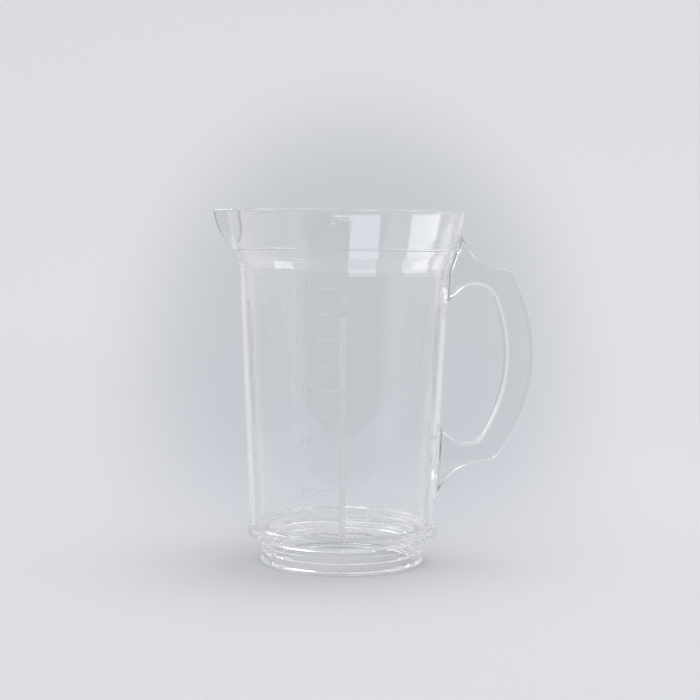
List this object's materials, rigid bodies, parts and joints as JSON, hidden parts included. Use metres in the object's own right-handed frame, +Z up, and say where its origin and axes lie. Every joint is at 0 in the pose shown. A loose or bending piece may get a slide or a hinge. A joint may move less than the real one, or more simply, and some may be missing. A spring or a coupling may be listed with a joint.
{
  "type": "blender jar",
  "caption": "Clear tapered blender jar with a flared pouring rim, a loop handle, stirring ribs and an open collar with bayonet ridges at the bottom.",
  "frame": {"origin": "on the jar's axis, in the plane of the collar's bottom face", "axes": "+Z up along the jar's axis, +X towards the handle, -X towards the spout"},
  "size_m": [0.1864, 0.14, 0.2035],
  "materials": {
    "clear_plastic": "clear, polished by the mould"
  },
  "bodies": {
    "root": {"jar": "clear_plastic"}
  },
  "joints": []
}
